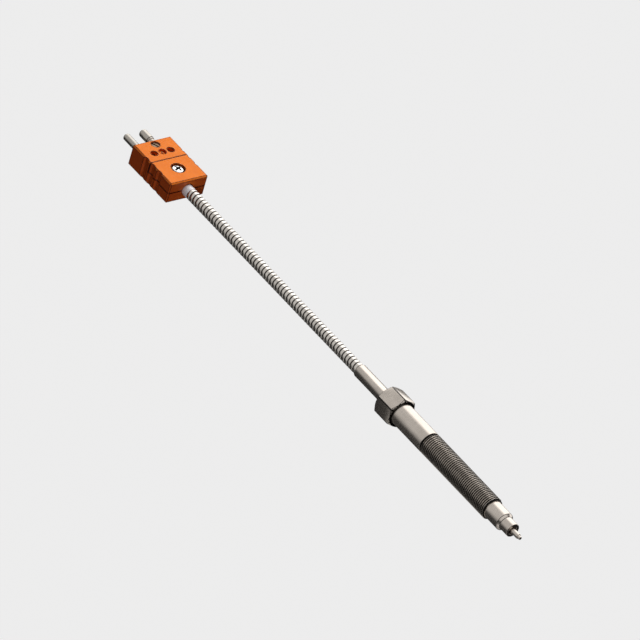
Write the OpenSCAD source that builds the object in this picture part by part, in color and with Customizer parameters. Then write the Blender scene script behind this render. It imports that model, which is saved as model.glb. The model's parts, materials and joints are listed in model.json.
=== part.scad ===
// Screw-in melt thermocouple: a hollow hexagon bolt with a needle probe, a swivelling
// stem, a straight flexible metal conduit and a two-pin thermocouple plug.
// Millimetres. The common axis is Z and the probe's tip points to +Z.
// Z = 0 is the tip-side end of the full thread. The plug's top faces -Y.

/* [Bolt] */
// Hexagon across flats
hex_af = 15.9; // [15:0.1:17]
// Hexagon length with both chamfers
hex_len = 13; // [12:0.1:15]
// Height of the hexagon's corner chamfers
hex_chamfer = 1.1; // [0.6:0.1:1.5]
// Plain shank and thread major diameter (1/2 inch)
shank_d = 12.7; // [12.5:0.1:13]
// Plain shank length
shank_len = 24.6; // [20:0.1:30]
// Thread length with its relief groove
thread_len = 56.4; // [50:0.2:60]
// Nose diameter in front of the thread
nose_d = 10.5; // [10.2:0.1:10.8]
// Nose length up to the sealing cone
nose_len = 10.2; // [9:0.1:12]
// Diameter of the boss in front of the sealing cone
boss_d = 7.9; // [7.4:0.1:8.4]
// Boss length
boss_len = 6.1; // [5:0.1:7]
// Hole that the needle stands in
nose_bore_d = 4.5; // [4.2:0.1:4.8]

/* [Probe] */
// Needle diameter
needle_d = 2.9; // [2.7:0.1:3.1]
// Needle length past the bolt, up to its step
needle_len = 5.2; // [4:0.1:7]
// Diameter of the reduced tip
tip_d = 2; // [1.8:0.1:2.2]
// Length of the reduced tip
tip_len = 1.7; // [1.4:0.1:2.2]
// Stem sleeve diameter
stem_d = 7.6; // [7.4:0.1:7.8]
// Stem sleeve length outside the hexagon
stem_len = 24.7; // [20:0.1:30]

/* [Conduit] */
// Conduit outer diameter
conduit_d = 6.5; // [6.3:0.1:6.8]
// Conduit inner diameter
conduit_bore = 4.4; // [4.2:0.1:4.6]
// Plug ferrule diameter
ferrule_d = 6.4; // [6.2:0.1:6.6]

/* [Plug] */
// Plug width over the grip faces
plug_w = 24.4; // [24:0.1:25.4]
// Plug length without its pins
plug_l = 35.1; // [34.8:0.1:35.6]
// Plug height
plug_h = 12.6; // [12.4:0.1:13]
// Edge chamfer
plug_chamfer = 0.8; // [0.5:0.1:1]
// Length of the pin block, up to the cap
block_l = 16.1; // [15.9:0.1:16.4]
// Distance between the pin axes
pin_pitch = 10.5; // [10.4:0.1:10.8]
// Positive pin diameter
pos_pin_d = 4; // [3.9:0.1:4.1]
// Negative pin diameter
neg_pin_d = 4.7; // [4.6:0.1:4.8]
// Length of the pins outside the plug
pin_len = 13.6; // [13:0.1:15]
// Cap screw head diameter
screw_head_d = 6.5; // [6.3:0.1:7]

/* [Hidden] */
$fn = 64;

STEEL = [0.72, 0.68, 0.64];
DARK_STEEL = [0.50, 0.47, 0.44];
LIGHT_STEEL = [0.80, 0.80, 0.81];
BRASS = [0.78, 0.62, 0.32];
ORANGE = [0.92, 0.45, 0.13];

// Clearances
slip = 0.03;      // between pieces of one body
run = 0.05;       // running clearance on the radius
cut = 0.5;        // how far a cutter stands past a face

// Heights along the axis
hex_face_inset = 0.35;
thread_chamfer = 0.6;
relief_w = 0.6;
relief_depth = 0.75;
z_thread_end = 0;
z_thread_start = -thread_len;
z_hex_front = z_thread_start - shank_len;
z_hex_back = z_hex_front - hex_len;
z_nose = thread_chamfer;
z_cone = z_nose + nose_len;
cone_h = (nose_d - boss_d) / 2;
z_boss = z_cone + cone_h;
z_face = z_boss + boss_len;
z_step = z_face + needle_len;
z_tip = z_step + tip_len;
z_stem_back = z_hex_back - stem_len;

// Inside of the bolt
journal_d = 9.6;
journal_depth = 19.4;
z_journal = z_hex_back + journal_depth;
washer_t = 0.7;
flange_l = 7;
z_flange = z_journal - washer_t - run;
z_bush = z_flange - flange_l - 0.1;
bush_inset = 0.2;
tip_bush_l = 7.4;
nose_recess = 4;
z_tip_bush = z_face - nose_recess;

// Inside of the sheath and the stem
sheath_bore = 2.2;
sheath_edge = 0.2;
tip_bore = 1.24;
z_sheath_back = z_flange - 14;
wire_x = 0.45;
wire_d = 0.34;
junction_d = 1.1;
junction_inset = 1.4;
z_junction = z_tip - junction_inset;
z_bore_step = z_junction - 0.7;
cavity_d = 6;
z_cavity = z_flange - 9;
lip = 1.5;
splice_x = 0.8;
splice_d = 1.52;
splice_bore = 1.26;
splice_l = 8;
z_splice_front = z_sheath_back - 6;
z_splice_back = z_splice_front - splice_l;
wire_grip = 3;         // how far a wire goes into its splice
lead_grip = 3.8;       // how far a lead goes into its splice

// The conduit hangs straight down: points on its centre line, below the stem's end
conduit_route = [[0, 0, 0], [0, 0, -9], [0, 0, -18], [0, 0, -27], [0, 0, -36],
    [0, 0, -45], [0, 0, -54], [0, 0, -63], [0, 0, -72], [0, 0, -81],
    [0, 0, -90], [0, 0, -99], [0, 0, -108], [0, 0, -117], [0, 0, -126],
    [0, 0, -135], [0, 0, -144], [0, 0, -152.9]];
conduit_sides = 12;
z_ferrule = z_stem_back + conduit_route[len(conduit_route) - 1][2];
ferrule_len = 3.9;
ferrule_bore = 4;
z_plug_back = z_ferrule - ferrule_len;
z_plug_front = z_plug_back - plug_l;

// Plug, in its own frame: x across, y from the pin face towards the conduit, z up
pin_x = pin_pitch / 2;
screw_y = 24.5;
recess_y = 10.1;
recess_d = 4;
blank_d = 4.1;
blank_depth = 1.2;
blank_pip_d = 1.2;     // moulded pip in the middle of the blanked hole
blank_pip_h = 0.7;
front_y = 3.8;
front_d = 4.9;
front_depth = 1.6;
cap_gap = 0.25;
floor_t = 1.8;
side_wall = 2.3;
front_wall = 1.6;
back_wall = 3.2;
well_w = plug_w - 2 * side_wall;
well_y0 = block_l + front_wall;
well_y1 = plug_l - back_wall;
well_h = plug_h / 2 - floor_t;
grip_places = [12.6, 18.5, 24.5];
grip_w = 4.25;
grip_depth = 1.15;
grip_r = (grip_w * grip_w / 4 + grip_depth * grip_depth) / (2 * grip_depth);

// Pins
shoulder_d = 4.9;
neg_shoulder_d = 5.6;
shoulder_y = 0.8;
collar_step = 0.2;     // how much a pin's collar in its front hole stands over the pin
collar_out = 0.1;      // how far the collar stands out of the plug
ring_step = 0.2;       // how much lower the negative pin's ring is than its barrel
pin_back = 15.8;
wire_hole_d = 1.3;
wire_hole_y = 6.4;
pos_nose = 1.1;
neg_nose = 1.2;
neg_neck_d = 3.6;
neck_len = 5.6;        // thin neck of the negative pin
neck_ring_l = 0.7;     // ring between the neck and the barrel
neck_groove = 0.35;

// Screws
terminal_head_d = 3.5;
terminal_head_h = 1.1;
terminal_seat = 3.1;
terminal_shaft_d = 2;
terminal_slot = [0.6, 0.5];        // width and depth
front_screw_d = 4.6;
front_screw_h = 1;
front_shaft_d = 2;
front_shaft_end = 1.6;
front_slot = [0.9, 0.55];
slot_reach = 5;
screw_shaft_d = 3;
screw_travel = 2.4;
counterbore_d = 7.7;
cap_boss_d = 9.4;
screw_rim = 1;
screw_crown = 0.75;
cross_reach = 2.2;
cross_w = 1.1;
cross_depth = 1.4;
screw_seat = 4.5;
boss_r = 3.4;
cap_boss_bottom = 2.9;
base_boss_top = -0.6;
insert_d = 4.4;
insert_bottom = -4.4;
screw_end = -2.9;

// Leads: the positive lead's centre line down the conduit, round the cap screw and
// into its pin; the bend is [x, distance inside the plug]; the negative is mirrored
lead_d = 1.2;
lead_sides = 8;
lead_straight = [for (z = [z_splice_back + lead_grip, z_stem_back, z_stem_back - 48,
    z_stem_back - 96, z_ferrule, z_plug_back - 1.5]) [splice_x, 0, z]];
lead_bend = [[1, 3.6], [2, 5.6], [3.6, 7.2], [4.6, 9.1], [5.1, 11.6]];
lead_end = [for (y = [14.4, 17.6, 28.4]) [pin_x, 0, z_plug_back - y]];
lead_route = concat(lead_straight,
    [for (b = lead_bend) [b[0], 0, z_plug_back - b[1]]], lead_end);

// ---------------------------------------------------------------- helpers

// Point of a smooth curve through four points, at u from 0 to 1
function smooth_point(a, b, c, d, u) =
    0.5 * (2 * b + (c - a) * u + (2 * a - 5 * b + 4 * c - d) * u * u
        + (3 * b - a - 3 * c + d) * u * u * u);

// The route with one extra point between each two
function refined(p) = [for (i = [0 : len(p) - 2], u = [0, 0.5])
    smooth_point(p[max(i - 1, 0)], p[i], p[i + 1], p[min(i + 2, len(p) - 1)], u),
    p[len(p) - 1]];

function unit(v) = v / norm(v);

// Direction of the route at point i
function heading(p, i) = unit(p[min(i + 1, len(p) - 1)] - p[max(i - 1, 0)]);

// Ring of n points round the route at point i; the route stays in the plane y = 0
function ring(p, i, r, n) = let (t = heading(p, i), side = unit(cross([0, 1, 0], t)))
    [for (k = [0 : n - 1]) p[i]
        + r * (cos(360 * k / n) * side + sin(360 * k / n) * [0, 1, 0])];

// Four-sided faces between ring a and ring b, which start at these point numbers
function band(a, b, n) = [for (k = [0 : n - 1]) let (m = (k + 1) % n)
    [a + k, a + m, b + m, b + k]];

function reversed(face) = [for (k = [len(face) - 1 : -1 : 0]) face[k]];

// A solid cord along a route
module cord(p, r, n) {
    rings = len(p);
    points = [for (i = [0 : rings - 1]) each ring(p, i, r, n)];
    sides = [for (i = [0 : rings - 2]) each band(i * n, (i + 1) * n, n)];
    start = [for (k = [0 : n - 1]) k];
    end = [for (k = [0 : n - 1]) (rings - 1) * n + k];
    polyhedron(points, concat(sides, [reversed(start), end]), convexity = 4);
}

// A hollow cord along a route
module hollow_cord(p, r, bore_r, n) {
    rings = len(p);
    inner = rings * n;
    last = (rings - 1) * n;
    points = concat([for (i = [0 : rings - 1]) each ring(p, i, r, n)],
        [for (i = [0 : rings - 1]) each ring(p, i, bore_r, n)]);
    outside = [for (i = [0 : rings - 2]) each band(i * n, (i + 1) * n, n)];
    inside = [for (i = [0 : rings - 2])
        each [for (f = band(inner + i * n, inner + (i + 1) * n, n)) reversed(f)]];
    start = band(inner, 0, n);
    end = band(last, inner + last, n);
    polyhedron(points, concat(outside, inside, start, end), convexity = 6);
}

// A cylinder of diameter d from z0 to z1
module rod(d, z0, z1, x = 0) {
    translate([x, 0, z0]) cylinder(h = z1 - z0, d = d);
}

// A tube of outer diameter d and bore from z0 to z1
module tube(d, bore, z0, z1, x = 0) {
    difference() {
        rod(d, z0, z1, x);
        rod(bore, z0 - cut, z1 + cut, x);
    }
}

// A turned piece: points are [radius, z]
module turned(points) {
    rotate_extrude() polygon(points);
}

// A box between two corners
module block(a, b) {
    translate(a) cube(b - a);
}

// Places the plug's own frame in the model
module in_plug() {
    translate([0, 0, z_plug_front]) rotate([90, 0, 0]) children();
}

// A straight slot across a screw head; size is [width, depth]
module slot(size, top, turn) {
    rotate([0, 0, turn]) block([-slot_reach, -size[0] / 2, top - size[1]],
        [slot_reach, size[0] / 2, top + cut]);
}

// A rectangle with cut corners, centred
module cut_rectangle(w, h, c) {
    polygon([[-w / 2 + c, -h / 2], [w / 2 - c, -h / 2], [w / 2, -h / 2 + c],
        [w / 2, h / 2 - c], [w / 2 - c, h / 2], [-w / 2 + c, h / 2],
        [-w / 2, h / 2 - c], [-w / 2, -h / 2 + c]]);
}

// ------------------------------------------------------------------- bolt

// Hexagon with its corners on Y, chamfered by a cone at both ends
module hexagon() {
    face_r = hex_af / 2 - hex_face_inset;
    corner_r = hex_af / sqrt(3);
    far_r = corner_r + cut;
    rise = hex_chamfer * (far_r - face_r) / (corner_r - face_r);
    intersection() {
        translate([0, 0, z_hex_back]) rotate([0, 0, 30])
            cylinder(h = hex_len, r = corner_r, $fn = 6);
        turned([[0, z_hex_back], [face_r, z_hex_back], [far_r, z_hex_back + rise],
            [far_r, z_hex_front - rise], [face_r, z_hex_front], [0, z_hex_front]]);
    }
}

// Shank, relief groove, thread at its major diameter, nose, cone and boss
module bolt_shaft() {
    r = shank_d / 2;
    edge = 0.3;
    z_inside = z_hex_front - 2;
    turned([[0, z_inside], [r, z_inside], [r, z_thread_start],
        [r - relief_depth, z_thread_start],
        [r - relief_depth, z_thread_start + relief_w],
        [r, z_thread_start + relief_w], [r, z_thread_end],
        [r - thread_chamfer, z_nose], [nose_d / 2, z_nose], [nose_d / 2, z_cone],
        [boss_d / 2, z_boss], [boss_d / 2, z_face - edge],
        [boss_d / 2 - edge, z_face], [0, z_face]]);
}

module bolt_body() {
    color(STEEL) difference() {
        union() {
            hexagon();
            bolt_shaft();
        }
        rod(nose_bore_d, z_hex_back - cut, z_face + cut);
        rod(journal_d, z_hex_back - cut, z_journal);
    }
}

// Ceramic ring that keeps the needle central and off the cold nose
module tip_bush() {
    color("ivory")
        tube(nose_bore_d - 2 * slip, needle_d + 2 * run,
            z_tip_bush - tip_bush_l, z_tip_bush);
}

// Soft copper ring that the stem's flange bears on under melt pressure
module seal_washer() {
    bore = nose_bore_d + 0.4;
    color("peru") tube(journal_d - 2 * slip, bore, z_journal - washer_t, z_journal);
}

// Bronze bush pressed into the hexagon, the stem's rear bearing and stop
module rear_bush() {
    color(BRASS)
        tube(journal_d - 2 * slip, stem_d + 2 * run, z_hex_back + bush_inset, z_bush);
}

// ------------------------------------------------------------------ probe

// Closed metal sheath: needle with a reduced round-ended tip
module probe_sheath() {
    round_r = 0.5;
    color(STEEL) difference() {
        union() {
            rod(needle_d, z_sheath_back, z_step - sheath_edge);
            turned([[0, z_step - sheath_edge], [needle_d / 2, z_step - sheath_edge],
                [needle_d / 2 - sheath_edge, z_step], [tip_d / 2, z_step],
                for (a = [0 : 15 : 90]) [tip_d / 2 - round_r + round_r * cos(a),
                    z_tip - round_r + round_r * sin(a)],
                [0, z_tip]]);
        }
        rod(sheath_bore, z_sheath_back - cut, z_bore_step);
        rod(tip_bore, z_bore_step - cut, z_junction + 0.7);
    }
}

module mineral_insulation() {
    color("whitesmoke") difference() {
        rod(sheath_bore - 2 * slip, z_sheath_back, z_bore_step - 0.1);
        for (x = [-wire_x, wire_x])
            rod(wire_d + 2 * slip, z_sheath_back - cut, z_bore_step + cut, x);
    }
}

// Thermoelement wire from the splice to the junction bead
module element_wire(x) {
    rod(wire_d, z_splice_front - wire_grip, z_junction - junction_d / 4, x);
}

module positive_wire() { color(BRASS) element_wire(wire_x); }

module negative_wire() { color(DARK_STEEL) element_wire(-wire_x); }

module measuring_junction() {
    color(DARK_STEEL) translate([0, 0, z_junction]) sphere(d = junction_d);
}

// Turned stem: sleeve, bearing length and thrust flange, hollow at the conduit end
module stem_sleeve() {
    flange_d = journal_d - 3 * run;
    color(STEEL) difference() {
        union() {
            rod(stem_d, z_stem_back, z_flange - flange_l + cut);
            rod(flange_d, z_flange - flange_l, z_flange);
        }
        rod(needle_d + 2 * slip, z_cavity - cut, z_flange + cut);
        rod(cavity_d, z_stem_back + lip, z_cavity);
        rod(conduit_bore, z_stem_back - cut, z_stem_back + lip + cut);
    }
}

// Cement round the end of the sheath and the two splices
module potting_seal() {
    color("dimgray") difference() {
        rod(cavity_d - 2 * slip, z_stem_back + lip + slip, z_cavity - slip);
        rod(needle_d + 2 * slip, z_sheath_back, z_cavity + cut);
        for (side = [-1, 1]) {
            rod(wire_d + 2 * slip, z_splice_front - cut, z_sheath_back + cut,
                side * wire_x);
            rod(splice_d + 2 * slip, z_splice_back, z_splice_front,
                side * splice_x);
            rod(lead_d + 2 * slip, z_stem_back, z_splice_back + cut,
                side * splice_x);
        }
    }
}

// Crimped sleeve that joins a wire and a lead
module splice(x) {
    tube(splice_d, splice_bore, z_splice_back + slip, z_splice_front - slip, x);
}

module positive_splice() { color("peru") splice(splice_x); }

module negative_splice() { color("peru") splice(-splice_x); }

// ---------------------------------------------------------------- conduit

module positive_lead() {
    color("orange") cord(refined(lead_route), lead_d / 2, lead_sides);
}

module negative_lead() {
    color("firebrick") mirror([1, 0, 0]) cord(refined(lead_route), lead_d / 2, lead_sides);
}

// The polygon's flats stand a little inside the true round outline
module conduit() {
    color(STEEL) translate([0, 0, z_stem_back])
        hollow_cord(conduit_route, conduit_d / 2, conduit_bore / 2, conduit_sides);
}

// Crimp ferrule; the plug's halves grip its flange, whose bore widens for the leads
module conduit_ferrule() {
    flange_d = 8.2;
    flange_t = 1.5;
    mouth_d = 6.2;
    z_in = z_plug_back - back_wall - slip;
    z_end = z_in - flange_t;
    color(LIGHT_STEEL) difference() {
        union() {
            rod(ferrule_d, z_in - cut, z_ferrule);
            rod(flange_d, z_end, z_in);
        }
        rod(ferrule_bore, z_end - cut, z_ferrule + cut);
        turned([[0, z_end - cut], [mouth_d / 2, z_end - cut], [mouth_d / 2, z_end],
            [ferrule_bore / 2, z_in], [0, z_in]]);
    }
}

// Rubber ring that keeps the leads apart inside the ferrule
module lead_grommet() {
    color("dimgray") difference() {
        rod(ferrule_bore - 2 * slip, z_plug_back - 0.8, z_ferrule - 0.4);
        for (x = [-splice_x, splice_x])
            rod(lead_d + 2 * slip, z_plug_back - back_wall, z_ferrule + cut, x);
    }
}

// ------------------------------------------------------------------- plug

// Outline seen from the top, with three grip grooves in each long side
module plug_outline() {
    difference() {
        translate([0, plug_l / 2]) cut_rectangle(plug_w, plug_l, plug_chamfer);
        for (side = [-1, 1], y = grip_places)
            translate([side * (plug_w / 2 - grip_depth + grip_r), y])
                circle(r = grip_r);
    }
}

// The whole plug block with chamfered edges
module plug_block() {
    intersection() {
        translate([0, 0, -plug_h / 2]) linear_extrude(plug_h) plug_outline();
        rotate([-90, 0, 0]) linear_extrude(plug_l)
            cut_rectangle(plug_w, plug_h, plug_chamfer);
        translate([-plug_w / 2, plug_l / 2, 0]) rotate([90, 0, 90])
            linear_extrude(plug_w) cut_rectangle(plug_l, plug_h, plug_chamfer);
    }
}

// Hole for the ferrule, half in the base and half in the cap
module ferrule_hole(clearance) {
    rotate([-90, 0, 0])
        rod(ferrule_d + 2 * clearance, well_y1 - cut, plug_l + cut);
}

// Base: full-height pin block, floor, walls and screw boss
module plug_base() {
    color(ORANGE) in_plug() {
        difference() {
            plug_block();
            block([-plug_w, block_l, 0], [plug_w, plug_l + cut, plug_h]);
            block([-well_w / 2, well_y0, -well_h], [well_w / 2, well_y1, cut]);
            ferrule_hole(slip);
            pin_holes();
            top_recesses();
        }
        difference() {
            translate([0, screw_y, -well_h - cut])
                cylinder(h = base_boss_top + well_h + cut, r = boss_r);
            translate([0, screw_y, insert_bottom - slip])
                cylinder(h = plug_h, d = insert_d + 2 * slip);
        }
    }
}

// Bores that the two pins are pushed into from the well, stepped for their shoulders
module pin_holes() {
    rotate([-90, 0, 0]) for (side = [-1, 1]) {
        free_d = side > 0 ? pos_pin_d : neg_pin_d;
        held_d = side > 0 ? shoulder_d : neg_shoulder_d;
        rod(free_d + 2 * (collar_step + slip), -cut, shoulder_y + cut, side * pin_x);
        rod(held_d + 2 * slip, shoulder_y - slip, well_y0 + cut, side * pin_x);
    }
}

// Notches in the cap's front wall that the leads pass through
module lead_notches() {
    rotate([-90, 0, 0]) for (side = [-1, 1])
        rod(lead_d + 0.8, block_l - cut, well_y0 + cut, side * pin_x);
}

// Two screw holes over the pins, a blanked hole between them, and the front hole
module top_recesses() {
    top = plug_h / 2;
    for (side = [-1, 1]) translate([side * pin_x, recess_y, 0]) {
        rod(recess_d, terminal_seat, top + cut);
        rod(terminal_shaft_d + 0.2, 0, top);
    }
    translate([0, recess_y, 0]) difference() {
        rod(blank_d, top - blank_depth, top + cut);
        rod(blank_pip_d, top - blank_depth - cut, top - blank_depth + blank_pip_h);
    }
    translate([0, front_y, 0]) {
        rod(front_d, top - front_depth, top + cut);
        rod(front_shaft_d + 0.2, front_shaft_end - 0.1, top);
    }
}

// Wire hole of a pin and the cross hole for its terminal screw
module pin_hollow() {
    rotate([-90, 0, 0]) rod(wire_hole_d, wire_hole_y, pin_back + cut);
    translate([0, recess_y, 0]) rod(terminal_shaft_d + 2 * slip, 0, neg_shoulder_d);
}

// A pin about its own axis: front is its outline, from its tip to its collar
module pin(front, pin_d, held_d) {
    collar_r = pin_d / 2 + collar_step;
    difference() {
        rotate([-90, 0, 0]) turned(concat(front, [[collar_r, -collar_out],
            [collar_r, shoulder_y], [held_d / 2, shoulder_y], [held_d / 2, pin_back],
            [0, pin_back]]));
        pin_hollow();
    }
}

// Round nose of a pin, from its axis to its full radius
function pin_nose(r, nose) = [[0, -pin_len], for (a = [-90 : 15 : 0])
    [r - nose + nose * cos(a), -pin_len + nose + nose * sin(a)]];

module positive_pin() {
    r = pos_pin_d / 2;
    front = concat(pin_nose(r, pos_nose), [[r, -collar_out]]);
    color(STEEL) in_plug() translate([pin_x, 0, 0]) pin(front, pos_pin_d, shoulder_d);
}

// Thicker, with a groove, a ring and a thin neck behind its barrel
module negative_pin() {
    r = neg_pin_d / 2;
    neck_r = neg_neck_d / 2;
    ring_r = r - ring_step;
    y_ring = -neck_len - neck_ring_l;
    front = concat(pin_nose(r, neg_nose),
        [[r, y_ring - neck_groove], [neck_r, y_ring - neck_groove], [neck_r, y_ring],
        [ring_r, y_ring], [ring_r, -neck_len], [neck_r, -neck_len],
        [neck_r, -collar_out]]);
    color(STEEL) in_plug() translate([-pin_x, 0, 0]) pin(front, neg_pin_d, neg_shoulder_d);
}

// Slotted screw that clamps a lead in its pin
module terminal_screw(side, turn) {
    tip_z = lead_d / 2 + slip;
    color(STEEL) in_plug() translate([side * pin_x, recess_y, 0]) difference() {
        union() {
            rod(terminal_shaft_d, tip_z, terminal_seat + cut);
            rod(terminal_head_d, terminal_seat + slip,
                terminal_seat + terminal_head_h);
        }
        slot(terminal_slot, terminal_seat + terminal_head_h, turn);
    }
}

module positive_terminal_screw() { terminal_screw(1, 25); }

module negative_terminal_screw() { terminal_screw(-1, -40); }

// Slotted screw in the front hole, which locks the pin block
module front_screw() {
    seat = plug_h / 2 - front_depth;
    color(STEEL) in_plug() translate([0, front_y, 0]) difference() {
        union() {
            rod(front_shaft_d, front_shaft_end, seat + cut);
            rod(front_screw_d, seat + slip, seat + front_screw_h);
        }
        slot(front_slot, seat + front_screw_h, 119);
    }
}

module screw_insert() {
    bore = screw_shaft_d + 2 * run;
    color(BRASS) in_plug() translate([0, screw_y, 0])
        tube(insert_d, bore, insert_bottom, base_boss_top);
}

// Cap: rear half of the top, hollow below, with the screw's counterbore
module plug_cap() {
    top = plug_h / 2;
    color(ORANGE) in_plug() difference() {
        union() {
            difference() {
                intersection() {
                    plug_block();
                    block([-plug_w, block_l + cap_gap, cap_gap],
                        [plug_w, plug_l + cut, plug_h]);
                }
                block([-well_w / 2, well_y0, -cut], [well_w / 2, well_y1, well_h]);
                ferrule_hole(cap_gap);
                lead_notches();
            }
            translate([0, screw_y, 0]) rod(cap_boss_d, cap_boss_bottom, top - cut);
        }
        translate([0, screw_y, 0]) {
            rod(counterbore_d, screw_seat, top + cut);
            rod(screw_shaft_d + 0.4, 0, top);
        }
    }
}

// Ring on the screw's shaft that keeps the screw in the cap
module screw_retainer() {
    ring_d = 4.8;
    thickness = 0.5;
    z0 = cap_boss_bottom - screw_travel - thickness - 0.1;
    color("dimgray") in_plug() translate([0, screw_y, 0])
        tube(ring_d, screw_shaft_d + 2 * run, z0, z0 + thickness);
}

// Pan-head screw with a cross recess
module cap_screw() {
    head_r = screw_head_d / 2;
    dome_r = (head_r * head_r + screw_crown * screw_crown) / (2 * screw_crown);
    seat = screw_seat + slip;
    top = seat + screw_rim + screw_crown;
    span = asin(head_r / dome_r);
    color("gainsboro") in_plug() translate([0, screw_y, 0]) difference() {
        union() {
            turned([[0, seat], [head_r, seat],
                for (a = [0 : 0.125 : 1]) [dome_r * sin(span * (1 - a)),
                    top - dome_r + dome_r * cos(span * (1 - a))]]);
            rod(screw_shaft_d, screw_end, seat + cut);
        }
        for (turn = [20, 110]) rotate([0, 0, turn])
            block([-cross_reach, -cross_w / 2, top - cross_depth],
                [cross_reach, cross_w / 2, top + cut]);
    }
}

bolt_body();
tip_bush();
seal_washer();
rear_bush();
probe_sheath();
mineral_insulation();
positive_wire();
negative_wire();
measuring_junction();
stem_sleeve();
potting_seal();
positive_splice();
negative_splice();
positive_lead();
negative_lead();
conduit();
conduit_ferrule();
lead_grommet();
plug_base();
positive_pin();
negative_pin();
positive_terminal_screw();
negative_terminal_screw();
front_screw();
screw_insert();
plug_cap();
screw_retainer();
cap_screw();
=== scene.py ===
"""Screw-in melt thermocouple: the looks of its pieces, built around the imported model.

Metres, in the model's frame: the common axis is Z, the needle points to +Z, the plug's top
faces -Y and the conduit hangs down from the stem.
"""

import json
import math

import bmesh
import bpy
from mathutils import Matrix, Vector


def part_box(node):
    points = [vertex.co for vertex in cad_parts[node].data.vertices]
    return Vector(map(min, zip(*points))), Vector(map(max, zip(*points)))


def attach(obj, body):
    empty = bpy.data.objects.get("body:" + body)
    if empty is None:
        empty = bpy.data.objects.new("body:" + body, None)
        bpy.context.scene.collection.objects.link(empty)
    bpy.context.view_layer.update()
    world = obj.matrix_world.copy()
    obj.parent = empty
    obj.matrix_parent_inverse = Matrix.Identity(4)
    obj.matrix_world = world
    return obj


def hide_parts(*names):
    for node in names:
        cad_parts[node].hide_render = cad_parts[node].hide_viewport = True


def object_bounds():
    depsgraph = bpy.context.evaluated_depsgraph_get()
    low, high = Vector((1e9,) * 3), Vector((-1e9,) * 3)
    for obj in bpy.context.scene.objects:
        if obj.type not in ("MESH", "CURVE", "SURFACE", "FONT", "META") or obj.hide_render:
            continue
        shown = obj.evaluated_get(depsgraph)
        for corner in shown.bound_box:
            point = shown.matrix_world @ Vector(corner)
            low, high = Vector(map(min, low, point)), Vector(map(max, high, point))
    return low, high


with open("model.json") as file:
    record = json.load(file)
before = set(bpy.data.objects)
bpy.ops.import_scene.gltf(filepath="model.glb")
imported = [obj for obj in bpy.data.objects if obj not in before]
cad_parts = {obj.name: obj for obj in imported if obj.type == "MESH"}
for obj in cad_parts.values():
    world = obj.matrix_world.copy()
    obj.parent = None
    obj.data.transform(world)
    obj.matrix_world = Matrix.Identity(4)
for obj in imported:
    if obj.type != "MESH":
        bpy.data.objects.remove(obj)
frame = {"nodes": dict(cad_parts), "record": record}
cad_low, cad_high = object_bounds()
scene = bpy.context.scene

MM = 0.001

# ------------------------------------------------------------------ camera

CAMERA_AZIMUTH = math.radians(45)        # from the -Y side towards +X
CAMERA_ELEVATION = math.asin(1 / math.sqrt(3))    # an isometric view
AXIS_TURN = math.radians(136.3)          # clockwise, from the picture's up to the axis
FRAME_WIDTH = 326.4 * MM                 # what the picture takes in at the object
LENS = 1500.0                            # so long that parallel edges stay parallel
SENSOR = 36.0
AIM_BELOW_MIDDLE = 9.2 * MM
AIM_ASIDE = 3.1 * MM

BACK = Vector((math.sin(CAMERA_AZIMUTH) * math.cos(CAMERA_ELEVATION),
               -math.cos(CAMERA_AZIMUTH) * math.cos(CAMERA_ELEVATION),
               math.sin(CAMERA_ELEVATION)))


def make_camera():
    """A long-lens camera, rolled so that the axis runs down to the right."""
    level_right = Vector((math.cos(CAMERA_AZIMUTH), math.sin(CAMERA_AZIMUTH), 0))
    level_up = BACK.cross(level_right)
    right = math.cos(AXIS_TURN) * level_right + math.sin(AXIS_TURN) * level_up
    up = math.cos(AXIS_TURN) * level_up - math.sin(AXIS_TURN) * level_right
    aside = math.sin(AXIS_TURN) * up - math.cos(AXIS_TURN) * right
    middle = Vector((0, 0, (cad_low.z + cad_high.z) / 2 - AIM_BELOW_MIDDLE))
    data = bpy.data.cameras.new("camera")
    data.lens = LENS
    data.sensor_width = SENSOR
    distance = FRAME_WIDTH * LENS / SENSOR
    data.clip_start, data.clip_end = 0.1 * distance, 3 * distance
    camera = bpy.data.objects.new("camera", data)
    turn = Matrix((right, up, BACK)).transposed().to_4x4()
    camera.matrix_world = Matrix.Translation(
        middle + AIM_ASIDE * aside + distance * BACK) @ turn
    scene.collection.objects.link(camera)
    scene.camera = camera


make_camera()
scene.view_settings.view_transform = "Standard"

# --------------------------------------------------------- node tree helpers

# An edge shows by how far its rounded normal leaves the face's own: cosines of that turn
EDGE_FULL, EDGE_NONE = 0.955, 0.9995
EDGE_RAYS = 6


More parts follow.
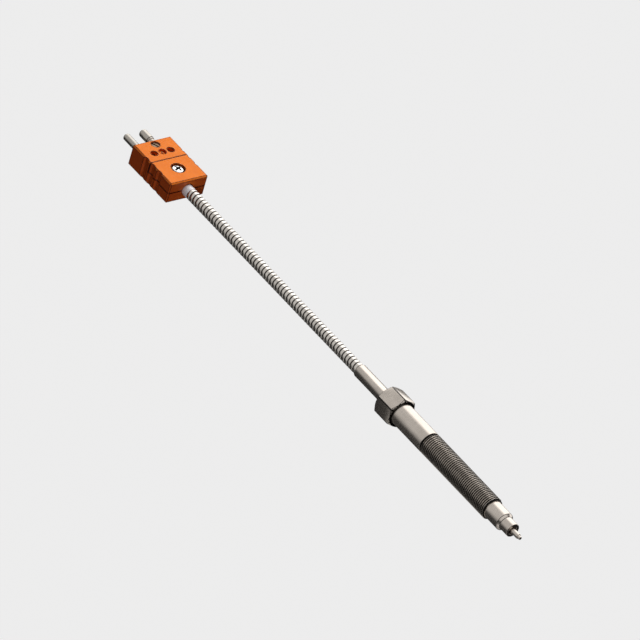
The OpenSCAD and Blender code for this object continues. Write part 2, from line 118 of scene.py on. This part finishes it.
class Shader:
    """A node tree under construction: each call adds a node and returns an output."""

    def __init__(self, tree):
        self.tree = tree
        tree.nodes.clear()

    def node(self, kind, **values):
        made = self.tree.nodes.new(kind)
        for name, value in values.items():
            setattr(made, name, value)
        return made

    def put(self, socket, value):
        """Links an output to a socket, or sets the socket's own value."""
        if isinstance(value, bpy.types.NodeSocket):
            self.tree.links.new(value, socket)
        else:
            socket.default_value = value

    def math(self, operation, a, b=0.0, c=0.0):
        made = self.node("ShaderNodeMath", operation=operation)
        for socket, value in zip(made.inputs, (a, b, c)):
            self.put(socket, value)
        return made.outputs[0]

    def ramp(self, value, low, high, to_low=0.0, to_high=1.0):
        """Maps low..high of a value to to_low..to_high, smoothly."""
        made = self.node("ShaderNodeMapRange", interpolation_type="SMOOTHSTEP")
        for name, v in (("Value", value), ("From Min", low), ("From Max", high),
                        ("To Min", to_low), ("To Max", to_high)):
            self.put(made.inputs[name], v)
        return made.outputs[0]

    def mix(self, factor, a, b):
        """Blend of two colours."""
        made = self.node("ShaderNodeMix", data_type="RGBA")
        factor_socket, a_socket, b_socket = (made.inputs[i] for i in (0, 6, 7))
        self.put(factor_socket, factor)
        self.put(a_socket, a)
        self.put(b_socket, b)
        return made.outputs[2]

    def place(self):
        """Position on the piece, in metres."""
        return self.node("ShaderNodeTexCoord").outputs["Object"]

    def stretched(self, scale):
        """Position on the piece, scaled along each axis."""
        made = self.node("ShaderNodeMapping")
        self.put(made.inputs["Vector"], self.place())
        made.inputs["Scale"].default_value = scale
        return made.outputs[0]

    def noise(self, vector, scale, detail=4.0, rough=0.55):
        made = self.node("ShaderNodeTexNoise")
        self.put(made.inputs["Vector"], vector)
        made.inputs["Scale"].default_value = scale
        made.inputs["Detail"].default_value = detail
        made.inputs["Roughness"].default_value = rough
        return made.outputs[0]

    def parts(self, vector):
        """The x, y and z of a vector."""
        made = self.node("ShaderNodeSeparateXYZ")
        self.put(made.inputs[0], vector)
        return made.outputs

    def square_sum(self, a, b):
        """The squares of two values, added."""
        return self.math("MULTIPLY_ADD", a, a, self.math("MULTIPLY", b, b))

    def axis_radius(self):
        """Distance from the common axis, in metres."""
        x, y, _ = self.parts(self.place())
        return self.math("SQRT", self.square_sum(y, x))

    def edges(self, reach):
        """1 on the sharp edges of a piece, both outer and inner, and 0 beyond reach."""
        rounded_off = self.node("ShaderNodeBevel", samples=EDGE_RAYS)
        rounded_off.inputs["Radius"].default_value = reach
        turned = self.node("ShaderNodeVectorMath", operation="DOT_PRODUCT")
        self.put(turned.inputs[0], rounded_off.outputs[0])
        self.put(turned.inputs[1], self.node("ShaderNodeNewGeometry").outputs["Normal"])
        return self.ramp(turned.outputs["Value"], EDGE_FULL, EDGE_NONE, 1.0, 0.0)

    def bump(self, height, distance):
        """Normal of a surface that rises by distance where height goes from 0 to 1."""
        made = self.node("ShaderNodeBump")
        made.inputs["Strength"].default_value = 1.0
        made.inputs["Distance"].default_value = distance
        self.put(made.inputs["Height"], height)
        return made.outputs[0]


def colour(r, g, b):
    return (r, g, b, 1.0)


def new_material(name, **sockets):
    """A material with one Principled shader; sockets set its own values."""
    material = bpy.data.materials.new(name)
    material.use_nodes = True
    shader = Shader(material.node_tree)
    surface = shader.node("ShaderNodeBsdfPrincipled")
    output = shader.node("ShaderNodeOutputMaterial")
    material.node_tree.links.new(surface.outputs[0], output.inputs[0])
    for socket, value in sockets.items():
        surface.inputs[socket.replace("_", " ")].default_value = value
    return material, shader, surface


# --------------------------------------------------------------- materials

CROSS_DOME_R = 7.4 * MM               # dome of the cap screw's head
CROSS_REACH = 2.4 * MM                # how far its cross recess reaches
CROSS_CORE = 0.95 * MM                # middle of the recess, always painted dark as shade
SHADE_FADE = 0.3 * MM                  # over which the painted shade in the recess fades out
SCREW_RIM_R = 2.75 * MM               # where the painted shade round the head's rim begins
SCREW_RIM_END = 2.95 * MM             # where it is fully dark
PLUG_EDGE_SHADE_REACH = 0.8 * MM            # how far painted shade and dark lines spread from the plug's edges
GRAIN_LOW, GRAIN_HIGH = 0.3, 0.7      # the span that most of a noise lies in
FINE_RELIEF = 0.004 * MM              # height of turning marks and scratches


def turned_steel(name, light, dark, rough=(0.2, 0.34)):
    """Lathe-turned steel: fine rings round the axis, faint cloudy tone."""
    material, s, surface = new_material(name, Metallic=1.0)
    rings = s.noise(s.stretched((60, 60, 9000)), 1.0, 3.0, 0.6)
    cloud = s.noise(s.stretched((1, 1, 0.4)), 260.0, 3.0)
    tone = s.math("MULTIPLY_ADD", rings, 0.45, s.math("MULTIPLY", cloud, 0.55))
    s.put(surface.inputs["Base Color"], s.mix(s.ramp(tone, GRAIN_LOW, GRAIN_HIGH), dark, light))
    s.put(surface.inputs["Roughness"], s.ramp(rings, 0.25, 0.75, rough[0], rough[1]))
    s.put(surface.inputs["Normal"], s.bump(rings, FINE_RELIEF))
    return material


def grooved_steel(name, light, dark, crest, root, rough=(0.24, 0.5)):
    """Steel that is bright at the crest radius and dark at the root radius: painted shade in the
    grooves, with some oily grime.
    """
    material, s, surface = new_material(name, Metallic=1.0)
    depth = s.ramp(s.axis_radius(), root, crest)
    grain = s.noise(s.stretched((1, 1, 3)), 1500.0, 4.0)
    cloud = s.noise(s.place(), 120.0, 3.0)
    shade = s.ramp(s.math("MULTIPLY_ADD", grain, 0.35, depth), 0.3, 1.15)
    clean = s.mix(s.ramp(cloud, 0.35, 0.65), tuple(0.86 * c for c in light[:3]) + (1,),
                  light)
    # painted shade: the colour runs to the near-black one towards the root radius
    s.put(surface.inputs["Base Color"], s.mix(shade, dark, clean))
    s.put(surface.inputs["Roughness"], s.ramp(shade, 0.0, 1.0, rough[1], rough[0]))
    s.put(surface.inputs["Normal"], s.bump(grain, 0.006 * MM))
    return material


def scratch(s, surface, light, dark, rough):
    """Small scratches and stains in a metal's gloss and relief; returns their colour."""
    grain = s.noise(s.place(), 700.0, 5.0, 0.6)
    s.put(surface.inputs["Roughness"], s.ramp(grain, GRAIN_LOW, GRAIN_HIGH, rough[1], rough[0]))
    s.put(surface.inputs["Normal"], s.bump(grain, FINE_RELIEF))
    return s.mix(s.ramp(grain, GRAIN_LOW, GRAIN_HIGH), dark, light)


def plain_metal(name, light, dark, rough=(0.2, 0.4)):
    """Metal with small scratches and stains."""
    material, s, surface = new_material(name, Metallic=1.0)
    s.put(surface.inputs["Base Color"], scratch(s, surface, light, dark, rough))
    return material


def cross_head(name, light, dark, shade_colour, rough=(0.12, 0.24)):
    """Plated pan-head screw with shade painted into its cross recess below the dome and round
    its rim.
    """
    material, s, surface = new_material(name, Metallic=1.0)
    low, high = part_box("cap_screw")
    x, y, z = s.parts(s.place())
    square = s.square_sum(x, s.math("SUBTRACT", z, (low.z + high.z) / 2))

    def within(radius):
        return s.ramp(square, radius ** 2, (radius + SHADE_FADE) ** 2, 1.0, 0.0)

    dome = s.math("MULTIPLY_ADD", square, -0.5 / CROSS_DOME_R, -low.y)
    below = s.ramp(s.math("ADD", dome, y), 0.2 * SHADE_FADE, SHADE_FADE)
    rim_shade = s.ramp(square, SCREW_RIM_R ** 2, SCREW_RIM_END ** 2)
    painted_shade = s.math("MULTIPLY", below, within(CROSS_REACH))
    for more in (within(CROSS_CORE), rim_shade):
        painted_shade = s.math("MAXIMUM", painted_shade, more)
    clean = scratch(s, surface, light, dark, rough)
    # painted shade: the cross recess, its middle and the head's rim take the near-black shade
    # colour
    s.put(surface.inputs["Base Color"], s.mix(painted_shade, clean, shade_colour))
    return material


def moulded_plastic(name, light, dark, rough=(0.34, 0.5), edge=None):
    """Moulded plastic with an eroded grain, uneven pigment, painted shade in its creases and
    dark lines painted along its outer edges.
    """
    material, s, surface = new_material(name, Specular_IOR_Level=0.2)
    cloud = s.noise(s.place(), 140.0, 3.0)
    grain = s.noise(s.place(), 4200.0, 3.0, 0.6)
    fibre = s.noise(s.stretched((900, 900, 240)), 1.0, 2.0)
    tone = s.math("MULTIPLY_ADD", fibre, 0.35, s.math("MULTIPLY", cloud, 0.65))
    clean = s.mix(s.ramp(tone, GRAIN_LOW, GRAIN_HIGH), dark, light)
    if edge:
        # painted shade: the edge colour darkens inner edges and gaps as shade and paints a dark
        # line on outer edges
        clean = s.mix(s.edges(PLUG_EDGE_SHADE_REACH), clean, edge)
    s.put(surface.inputs["Base Color"], clean)
    s.put(surface.inputs["Roughness"], s.ramp(grain, GRAIN_LOW, GRAIN_HIGH, rough[0], rough[1]))
    s.put(surface.inputs["Normal"], s.bump(grain, 0.012 * MM))
    return material


def powdery(name, light, dark):
    """Matt ceramic or cement with a fine grain."""
    material, s, surface = new_material(name, Roughness=0.85)
    grain = s.noise(s.place(), 1600.0, 5.0, 0.65)
    s.put(surface.inputs["Base Color"], s.mix(s.ramp(grain, GRAIN_LOW, GRAIN_HIGH), dark, light))
    s.put(surface.inputs["Normal"], s.bump(grain, 0.02 * MM))
    return material


STEEL_LIGHT, STEEL_DARK = colour(0.70, 0.63, 0.56), colour(0.58, 0.52, 0.46)
MATERIALS = {
    "bolt_steel": turned_steel("bolt_steel", STEEL_LIGHT, STEEL_DARK),
    "probe_steel": turned_steel("probe_steel", STEEL_LIGHT, STEEL_DARK),
    # steel_edge is near-black: dark lines painted on the bolt's outer edges, and painted shade
    # in its inner corners
    "steel_edge": turned_steel("steel_edge", colour(0.05, 0.045, 0.04),
                               colour(0.03, 0.027, 0.024)),
    # the thread's and the conduit's near-black root colours are painted shade in their grooves,
    # with some oily grime
    "thread_steel": grooved_steel("thread_steel", colour(0.74, 0.67, 0.60),
                                  colour(0.02, 0.018, 0.016), 6.36 * MM, 5.72 * MM),
    "conduit_steel": grooved_steel("conduit_steel", colour(0.78, 0.73, 0.67),
                                   colour(0.045, 0.04, 0.036), 3.22 * MM, 2.92 * MM),
    "ferrule_steel": turned_steel("ferrule_steel", colour(0.76, 0.75, 0.77),
                                  colour(0.67, 0.66, 0.68), rough=(0.5, 0.62)),
    "pin_alloy": turned_steel("pin_alloy", colour(0.53, 0.49, 0.435),
                              colour(0.44, 0.405, 0.36)),
    "screw_steel": plain_metal("screw_steel", colour(0.27, 0.18, 0.12),
                               colour(0.11, 0.075, 0.05)),
    # the cap screw's third colour is painted shade for its cross recess and rim
    "cap_screw_plate": cross_head("cap_screw_plate", colour(0.92, 0.92, 0.90),
                                  colour(0.80, 0.80, 0.79), colour(0.02, 0.022, 0.026)),
    # plug_plastic's edge colour is painted shade in its creases and a dark line on its outer
    # edges
    "plug_plastic": moulded_plastic("plug_plastic", colour(0.87, 0.232, 0.027),
                                    colour(0.79, 0.20, 0.022),
                                    edge=colour(0.05, 0.008, 0.002)),
    "ceramic": powdery("ceramic", colour(0.82, 0.79, 0.72), colour(0.70, 0.67, 0.60)),
    "cement": powdery("cement", colour(0.30, 0.29, 0.28), colour(0.22, 0.21, 0.20)),
    "copper": plain_metal("copper", colour(0.80, 0.44, 0.28), colour(0.62, 0.32, 0.20)),
    "brass": plain_metal("brass", colour(0.80, 0.60, 0.28), colour(0.64, 0.46, 0.20)),
    "element_wire": plain_metal("element_wire", colour(0.62, 0.58, 0.52),
                                colour(0.45, 0.42, 0.38)),
    "lead_positive": moulded_plastic("lead_positive", colour(0.86, 0.30, 0.05),
                                     colour(0.76, 0.25, 0.04)),
    "lead_negative": moulded_plastic("lead_negative", colour(0.50, 0.03, 0.025),
                                     colour(0.40, 0.025, 0.02)),
    "rubber": powdery("rubber", colour(0.045, 0.045, 0.045), colour(0.03, 0.03, 0.03)),
}


def dress(obj, slot):
    """Gives an object the material of one of the record's slots."""
    obj.data.materials.clear()
    obj.data.materials.append(MATERIALS[slot])


# ------------------------------------------------------------ mesh helpers

MESH_WELD, CAD_WELD = 0.2e-6, 0.5e-6     # points closer than this are one
SOFTENED_ANGLE = 32.0                    # an edge that turns by more is sharp, degrees
ROUND_STEPS = 3                          # facets of a rounded corner


def mesh_object(name, vertices, faces, body, sharp_angle):
    """A piece from points and faces: welded, facing outwards and smooth-shaded."""
    mesh = bpy.data.meshes.new(name)
    mesh.from_pydata(vertices, [], faces)
    work = bmesh.new()
    work.from_mesh(mesh)
    bmesh.ops.remove_doubles(work, verts=work.verts, dist=MESH_WELD)
    bmesh.ops.dissolve_degenerate(work, edges=work.edges, dist=MESH_WELD)
    bmesh.ops.recalc_face_normals(work, faces=work.faces)
    work.to_mesh(mesh)
    work.free()
    mesh.shade_smooth()
    mesh.set_sharp_from_angle(angle=math.radians(sharp_angle))
    obj = bpy.data.objects.new(name, mesh)
    scene.collection.objects.link(obj)
    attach(obj, body)
    return obj


def around(columns):
    """Angles of the columns round the axis."""
    return [2 * math.pi * i / columns for i in range(columns)]


def on_axis(radius, angle, z):
    return (radius * math.cos(angle), radius * math.sin(angle), z)


class Lathe:
    """Rows of points round the axis, joined into one closed skin."""

    def __init__(self, angles):
        self.angles = angles
        self.vertices = []
        self.faces = []

    def row(self, outline):
        """Adds a row; outline(angle) gives its radius and height. Returns its start."""
        start = len(self.vertices)
        for angle in self.angles:
            radius, z = outline(angle)
            self.vertices.append(on_axis(radius, angle, z))
        return start

    def join(self, a, b):
        """Faces between the rows that start at a and b."""
        count = len(self.angles)
        for i in range(count):
            k = (i + 1) % count
            self.faces.append((a + i, a + k, b + k, b + i))

    def profile(self, points):
        """Rows through [radius, z] points, joined in order; returns first and last."""
        starts = [self.row(lambda _, p=p: p) for p in points]
        for a, b in zip(starts, starts[1:]):
            self.join(a, b)
        return starts[0], starts[-1]

    def helix(self, shape, pitch, z0, z1, end_radius, limit):
        """A right-hand screw surface between z0 and z1, closed to rings at both ends.

        shape lists [share of the pitch, radius]; limit(z) is the largest radius there."""
        count, per_turn = len(self.angles), len(shape)
        turns = math.ceil((z1 - z0) / pitch) + 1
        first = len(self.vertices)
        rows = turns * per_turn + per_turn
        for j in range(rows):
            turn, step = divmod(j, per_turn)
            share, radius = shape[step]
            base = z0 + (turn - 1 + share) * pitch
            for i, angle in enumerate(self.angles):
                z = base + pitch * i / count
                inside = z0 < z < z1
                z = min(max(z, z0), z1)
                r = min(radius, limit(z)) if inside else end_radius(z)
                self.vertices.append(on_axis(r, angle, z))
        for j in range(rows - 1):
            for i in range(count):
                a, b = first + j * count + i, first + (j + 1) * count + i
                if i + 1 < count:
                    self.faces.append((a, a + 1, b + 1, b))
                elif j + 1 + per_turn < rows:
                    jump = per_turn * count + 1 - count
                    self.faces.append((a, a + jump, b + jump, b))


def rounded(points, radius):
    """An outline of [r, z] points with its inner corners rounded."""
    made = [points[0]]
    for before, here, after in zip(points, points[1:], points[2:]):
        p, q, n = Vector(here), Vector(before) - Vector(here), Vector(after) - Vector(here)
        size = min(radius, 0.45 * q.length, 0.45 * n.length)
        start, end = p + size * q.normalized(), p + size * n.normalized()
        for k in range(ROUND_STEPS + 1):
            u = k / ROUND_STEPS
            made.append(tuple((1 - u) ** 2 * start + 2 * u * (1 - u) * p + u * u * end))
    return made + [points[-1]]


# ----------------------------------------------------------------- conduit

STEM_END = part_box("stem_sleeve")[0].z
CONDUIT_DROPS = [0, 9, 18, 27, 36, 45, 54, 63, 72, 81, 90, 99, 108, 117, 126, 135, 144,
                 152.9]
CONDUIT_ROUTE = [(0, 0, STEM_END - drop * MM) for drop in CONDUIT_DROPS]
CONDUIT_LENGTH = CONDUIT_DROPS[-1] * MM
CONDUIT_RADIUS = 3.25 * MM
CONDUIT_BORE = 2.2 * MM
CONDUIT_TURNS = 61
CONDUIT_END_STEP = 0.15 * MM         # the cut ends lie this much inside the outline
CONDUIT_SHARP_ANGLE = 40.0
STRIP_SHAPE = [(0.00, 0.42), (0.09, 0.42), (0.12, 0.27), (0.18, 0.15), (0.28, 0.06),
               (0.42, 0.01), (0.56, 0.0), (0.70, 0.03), (0.82, 0.11), (0.91, 0.24),
               (0.96, 0.40)]     # share of the pitch, depth below the outline in mm


def make_conduit():
    """Flexible conduit: one metal strip wound into interlocked turns."""
    top, bottom = CONDUIT_ROUTE[0][2], CONDUIT_ROUTE[-1][2]
    pitch = CONDUIT_LENGTH / CONDUIT_TURNS
    lathe = Lathe(around(64))
    shape = [(share, CONDUIT_RADIUS - drop * MM) for share, drop in STRIP_SHAPE]
    edge = CONDUIT_RADIUS - CONDUIT_END_STEP
    lathe.helix(shape, pitch, bottom, top, lambda z: edge, lambda z: CONDUIT_RADIUS)
    lathe.profile([(edge, bottom), (CONDUIT_BORE, bottom), (CONDUIT_BORE, top),
                   (edge, top)])
    conduit = mesh_object("flexible_conduit", lathe.vertices, lathe.faces, "probe",
                          CONDUIT_SHARP_ANGLE)
    dress(conduit, "conduit_steel")
    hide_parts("conduit")


make_conduit()

# -------------------------------------------------------------------- bolt

MOUNTS = {m["name"]: m for m in frame["record"]["mounts"]}
HEX_FLAT_R = MOUNTS["spanner_flat"]["pos_m"][0]
HEX_MIDDLE = MOUNTS["spanner_flat"]["pos_m"][2]
HEX_FACE_R = HEX_FLAT_R - 0.35 * MM
HEX_CORNER_R = 2 * HEX_FLAT_R / math.sqrt(3)
HEX_BLUNT = 0.10 * MM                # how much the corner edges are broken
BLUNT_SPREAD = 2.2                   # half width of a broken corner, in such depths
HEX_STEPS = 16                       # columns on each flat
EDGE_LINE = 0.16 * MM                # half width of the dark line along a turned edge
CORNER_LINE = 2.6                    # half width of a corner's dark line, degrees
FOOT_SHADE_REACH = 0.5 * MM                 # reach of the painted shade ring in the corner where the shank starts
HEX_SOFTENING = 0.14 * MM            # how much the chamfer's edges are broken
HEX_CHAMFER = 1.1 * MM
CHAMFER_SLOPE = HEX_CHAMFER / (HEX_CORNER_R - HEX_FACE_R)
SHANK_R = MOUNTS["thread"]["dims"]["r_mm"] * MM
FULL_THREAD = MOUNTS["thread"]["dims"]["length_mm"] * MM
JOURNAL_R = 4.8 * MM
JOURNAL_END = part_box("seal_washer")[1].z
NOSE_BORE_R = 2.25 * MM
THREAD_PITCH = 1.27 * MM
THREAD_ROOT_R = 5.57 * MM
RELIEF_R = 5.6 * MM
RELIEF_WIDTH = 0.6 * MM
THREAD_CHAMFER = 0.6 * MM
NOSE_R = MOUNTS["nose"]["dims"]["r_mm"] * MM
BOSS_R = MOUNTS["boss"]["dims"]["r_mm"] * MM
BOSS_LENGTH = 6.1 * MM
FACE_INSET = 0.5 * MM                # how far inside the hexagon's face ring it starts
BORE_SOFTENING, SHANK_SOFTENING = 0.25 * MM, 0.2 * MM
LEAD_IN_START = 0.2 * MM             # where the thread begins to taper, short of z = 0
THREAD_SLACK = 0.05 * MM             # allowance when the thread's faces are told apart
THREAD_HEIGHT = 0.78
THREAD_SHAPE = [(0.0, 0.04), (0.125, 0.0), (0.25, 0.04), (0.535, 0.70),
                (0.57, THREAD_HEIGHT), (0.68, THREAD_HEIGHT),
                (0.715, 0.70)]       # share of the pitch, rise above the root


def hex_angles():
    """Columns round the hexagon, close together at its corners, which lie on Y."""
    half_blunt = math.degrees(HEX_BLUNT / HEX_CORNER_R) * BLUNT_SPREAD
    near = [half_blunt, CORNER_LINE]
    even = [60 / HEX_STEPS * k for k in range(1, HEX_STEPS)]
    offsets = [0] + near + even + [60 - a for a in near[::-1]]
    return [math.radians(30 + 60 * side + offset)
            for side in range(6) for offset in offsets]


def hex_radius(angle):
    """Radius of the hexagon's outline, corners slightly broken."""
    from_flat = (angle - math.radians(30)) % math.radians(60) - math.radians(30)
    return min(HEX_FLAT_R / math.cos(from_flat), HEX_CORNER_R - HEX_BLUNT)


def hex_rows(lathe, z_face, inward):
    """Rows from an end face over its chamfer on to the flats; inward is +1 or -1."""
    soft = HEX_SOFTENING

    def chamfer(shift_r, shift_z):
        def outline(angle):
            radius = hex_radius(angle)
            drop = (radius - HEX_FACE_R) * CHAMFER_SLOPE
            return radius - shift_r, z_face + inward * (drop + shift_z)
        return outline

    return [lathe.row(lambda _: (HEX_FACE_R - soft, z_face)),
            lathe.row(lambda _: (HEX_FACE_R + soft, z_face + inward * soft * CHAMFER_SLOPE)),
            lathe.row(chamfer(soft, -soft * CHAMFER_SLOPE)),
            lathe.row(chamfer(0, soft))]


def on_hex_edge(angle, radius, depth):
    """Whether a point of the hexagon is on a corner edge or on a chamfer's edge;
    depth is its distance from the nearer end face."""
    from_corner = math.degrees(angle) % 60 - 30
    rim_depth = (hex_radius(angle) - HEX_FACE_R) * CHAMFER_SLOPE
    on_corner = abs(from_corner) < CORNER_LINE
    return radius > HEX_FLAT_R - EDGE_LINE and (
        on_corner or abs(depth - rim_depth) < EDGE_LINE)


def paint_bolt(bolt, z_back, z_hex, z_shank, z_nose, turned_edges):
    """Clean steel, a thread with painted shade in its roots, dark lines painted on the edges and
    painted shade round the shank's foot.
    """
    dress(bolt, "bolt_steel")
    bolt.data.materials.append(MATERIALS["thread_steel"])
    bolt.data.materials.append(MATERIALS["steel_edge"])
    on_thread, on_edge = 1, 2
    for face in bolt.data.polygons:
        x, y, z = face.center
        radius = math.hypot(x, y)
        # painted shade: the corner where the shank starts and the one where the cone meets the
        # boss take the near-black edge steel
        turned_edge = min(abs(z - edge) for edge in turned_edges) < EDGE_LINE
        shank_foot_shade = abs(z - z_hex) < FOOT_SHADE_REACH and radius < HEX_FACE_R
        if radius > RELIEF_R - 2 * THREAD_SLACK and z_shank < z < z_nose - THREAD_SLACK:
            face.material_index = on_thread
        elif radius > BOSS_R - EDGE_LINE and (turned_edge or shank_foot_shade):
            face.material_index = on_edge
        elif z < z_hex and on_hex_edge(math.atan2(y, x), radius, min(z_hex - z, z - z_back)):
            face.material_index = on_edge


def make_bolt():
    """The bolt: hexagon, shank, real 60 degree thread, nose, cone and boss."""
    low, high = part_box("bolt_body")
    z_back, z_face = low.z, high.z
    z_hex = 2 * HEX_MIDDLE - z_back
    z_thread = -FULL_THREAD
    z_shank = z_thread - RELIEF_WIDTH
    z_nose = THREAD_CHAMFER
    z_boss = z_face - BOSS_LENGTH
    z_cone = z_boss - (NOSE_R - BOSS_R)
    lathe = Lathe(hex_angles())

    bore = rounded([(HEX_FACE_R - FACE_INSET, z_back), (JOURNAL_R, z_back),
                    (JOURNAL_R, JOURNAL_END),
                    (NOSE_BORE_R, JOURNAL_END), (NOSE_BORE_R, z_face),
                    (BOSS_R, z_face), (BOSS_R, z_boss), (NOSE_R, z_cone),
                    (NOSE_R, z_nose), (THREAD_ROOT_R, z_nose)], BORE_SOFTENING)
    back_start, _ = lathe.profile(bore)

    def thread_limit(z):
        lead_in = SHANK_R - max(0.0, z + LEAD_IN_START)
        return min(lead_in, RELIEF_R + (z - z_thread))

    scale = (SHANK_R - THREAD_ROOT_R) / (THREAD_HEIGHT * MM)
    shape = [(share, THREAD_ROOT_R + rise * MM * scale) for share, rise in THREAD_SHAPE]
    lathe.helix(shape, THREAD_PITCH, z_thread, z_nose,
                lambda z: RELIEF_R if z < z_thread / 2 else THREAD_ROOT_R, thread_limit)

    shank = rounded([(RELIEF_R, z_thread), (RELIEF_R, z_shank), (SHANK_R, z_shank),
                     (SHANK_R, z_hex), (HEX_FACE_R - FACE_INSET, z_hex)],
                    SHANK_SOFTENING)
    _, shank_end = lathe.profile(shank)
    rows = hex_rows(lathe, z_hex, -1) + hex_rows(lathe, z_back, 1)[::-1]
    chain = [shank_end] + rows + [back_start]
    for a, b in zip(chain, chain[1:]):
        lathe.join(a, b)

    bolt = mesh_object("hex_bolt", lathe.vertices, lathe.faces, "bolt", SOFTENED_ANGLE)
    paint_bolt(bolt, z_back, z_hex, z_shank, z_nose, (z_cone, z_boss))
    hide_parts("bolt_body")


make_bolt()

# --------------------------------------------------------------- CAD pieces

EDGE_WIDTHS = {                       # bevels in mm
    "stem_sleeve": 0.2, "conduit_ferrule": 0.2,
    "positive_pin": 0.12, "negative_pin": 0.12, "cap_screw": 0.12, "front_screw": 0.08,
    "positive_terminal_screw": 0.08, "negative_terminal_screw": 0.08,
    "rear_bush": 0.15, "tip_bush": 0.1, "screw_insert": 0.1, "probe_sheath": 0.06,
}


def finish_cad_nodes():
    """Every shown CAD node gets its material, and soft edges where they show."""
    slots = {p["node"]: p["material_slot"] for p in frame["record"]["subparts"]}
    for name, node in frame["nodes"].items():
        if node.hide_render:
            continue
        dress(node, slots[name])
        weld = node.modifiers.new("weld", "WELD")
        weld.merge_threshold = CAD_WELD
        if name in EDGE_WIDTHS:
            bevel = node.modifiers.new("edges", "BEVEL")
            bevel.width = EDGE_WIDTHS[name] * MM
            bevel.segments = 2
            bevel.limit_method = "ANGLE"
            bevel.angle_limit = math.radians(SOFTENED_ANGLE)
            bevel.harden_normals = True


finish_cad_nodes()

# -------------------------------------------------------- floor and lighting

PALE = 0.842                          # light grey of the floor and the background
FLOOR_DROP = 350 * MM                 # the part hangs well above the floor
FLOOR_SIZE = 8.0
SUN_SPREAD = math.radians(12)         # broad suns cast soft shadows

# What shiny metal mirrors, a ring of soft boxes. Each has its bearing from +X, half width
# and soft edge in degrees, the lowest and highest sine of its elevation, and its level.
# A negative level is a card that takes light away
SOFT_BOXES = [
    (-147, 22, 36, -0.90, 0.18, 1.80),     # broad bright box on the upper right
    (-54, 20, 60, -0.90, 0.30, 0.60),      # mid-grey box behind the camera
    (-80, 50, 30, 0.50, 0.80, 0.80),       # overhead box that lights the cone
    (75, 30, 25, -0.18, 0.45, 0.40),       # low box for the back
    (25, 22, 15, 0.08, 0.40, 0.60),        # small box that picks out the thread
    (-224, 24, 3, -0.99, 0.95, -1.80),     # black card that gives metal a dark edge
]
DARK_LEVEL = 0.045
BLACK_LEVEL = 0.02                    # of the black card
BOX_FADE = 0.12                       # over which a box fades above and below, as a sine
FILL = (0.085, 0.045, 0.05)           # even light on plastic and ceramic

# Lights that only matt surfaces take: name, direction towards the light, strength, tint
KEY_LIGHTS = [
    ("key_light", (-0.55, -0.80, -0.22), 3.40, (1.0, 1.0, 1.0)),
    ("side_light", (0.30, -0.15, 0.94), 0.30, (1.0, 0.55, 0.6)),
    ("back_light", (-0.45, 0.80, -0.40), 1.6, (1.0, 1.0, 1.0)),
]


def soft_box(s, direction, bearing, half, soft, low, high):
    """Mask of one soft box in the surroundings, 1 inside and 0 outside."""
    x, y, z, flat = direction
    turn = math.radians(bearing)
    along = s.math("MULTIPLY_ADD", x, math.cos(turn), s.math("MULTIPLY", y, math.sin(turn)))
    inside = s.ramp(s.math("DIVIDE", along, flat), math.cos(math.radians(half + soft)),
                    math.cos(math.radians(half)))
    above = s.ramp(z, low - BOX_FADE, low)
    below = s.ramp(z, high, high + BOX_FADE, 1.0, 0.0)
    return s.math("MULTIPLY", inside, s.math("MULTIPLY", above, below))


def make_world():
    """Studio surroundings: soft boxes for metal, even fill for the rest, pale backdrop."""
    world = bpy.data.worlds.new("studio")
    world.use_nodes = True
    world.cycles.sampling_method = "NONE"
    scene.world = world
    s = Shader(world.node_tree)
    x, y, z = s.parts(s.node("ShaderNodeTexCoord").outputs["Generated"])
    flat = s.math("SQRT", s.square_sum(x, y))
    direction = (x, y, z, s.math("MAXIMUM", flat, 0.001))
    level = DARK_LEVEL
    for *place, strength in SOFT_BOXES:
        level = s.math("MULTIPLY_ADD", soft_box(s, direction, *place), strength, level)
    level = s.math("MAXIMUM", level, BLACK_LEVEL)
    lit = s.node("ShaderNodeCombineColor")
    for socket in lit.inputs:
        s.put(socket, level)
    studio, fill, pale = (s.node("ShaderNodeBackground") for _ in range(3))
    s.put(studio.inputs[0], lit.outputs[0])
    fill.inputs[0].default_value = colour(*FILL)
    pale.inputs[0].default_value = colour(PALE, PALE, PALE)
    ray = s.node("ShaderNodeLightPath").outputs
    shown = studio.outputs[0]
    for kind, background in (("Is Diffuse Ray", fill), ("Is Camera Ray", pale)):
        choose = s.node("ShaderNodeMixShader")
        s.put(choose.inputs[0], ray[kind])
        s.put(choose.inputs[1], shown)
        s.put(choose.inputs[2], background.outputs[0])
        shown = choose.outputs[0]
    s.put(s.node("ShaderNodeOutputWorld").inputs[0], shown)


def make_key_lights():
    """Broad suns for the matt surfaces; metal doesn't mirror them."""
    for name, towards, strength, tint in KEY_LIGHTS:
        data = bpy.data.lights.new(name, "SUN")
        data.energy = strength
        data.color = tint
        data.angle = SUN_SPREAD
        light = bpy.data.objects.new(name, data)
        light.rotation_euler = Vector(towards).to_track_quat("Z", "Y").to_euler()
        light.visible_glossy = False
        scene.collection.objects.link(light)


def make_floor():
    """A plain pale floor below the hanging plug."""
    half = FLOOR_SIZE / 2
    z = cad_low.z - FLOOR_DROP
    mesh = bpy.data.meshes.new("floor")
    mesh.from_pydata([(-half, -half, z), (half, -half, z), (half, half, z),
                      (-half, half, z)], [], [(0, 1, 2, 3)])
    floor = bpy.data.objects.new("floor", mesh)
    scene.collection.objects.link(floor)
    material, s, surface = new_material("floor", Roughness=1.0, Specular_IOR_Level=0.0)
    surface.inputs["Base Color"].default_value = colour(0.02, 0.02, 0.02)
    surface.inputs["Emission Color"].default_value = colour(1, 1, 1)
    surface.inputs["Emission Strength"].default_value = PALE
    floor.data.materials.append(material)
    floor.visible_diffuse = floor.visible_glossy = floor.visible_shadow = False


make_world()
make_key_lights()
make_floor()
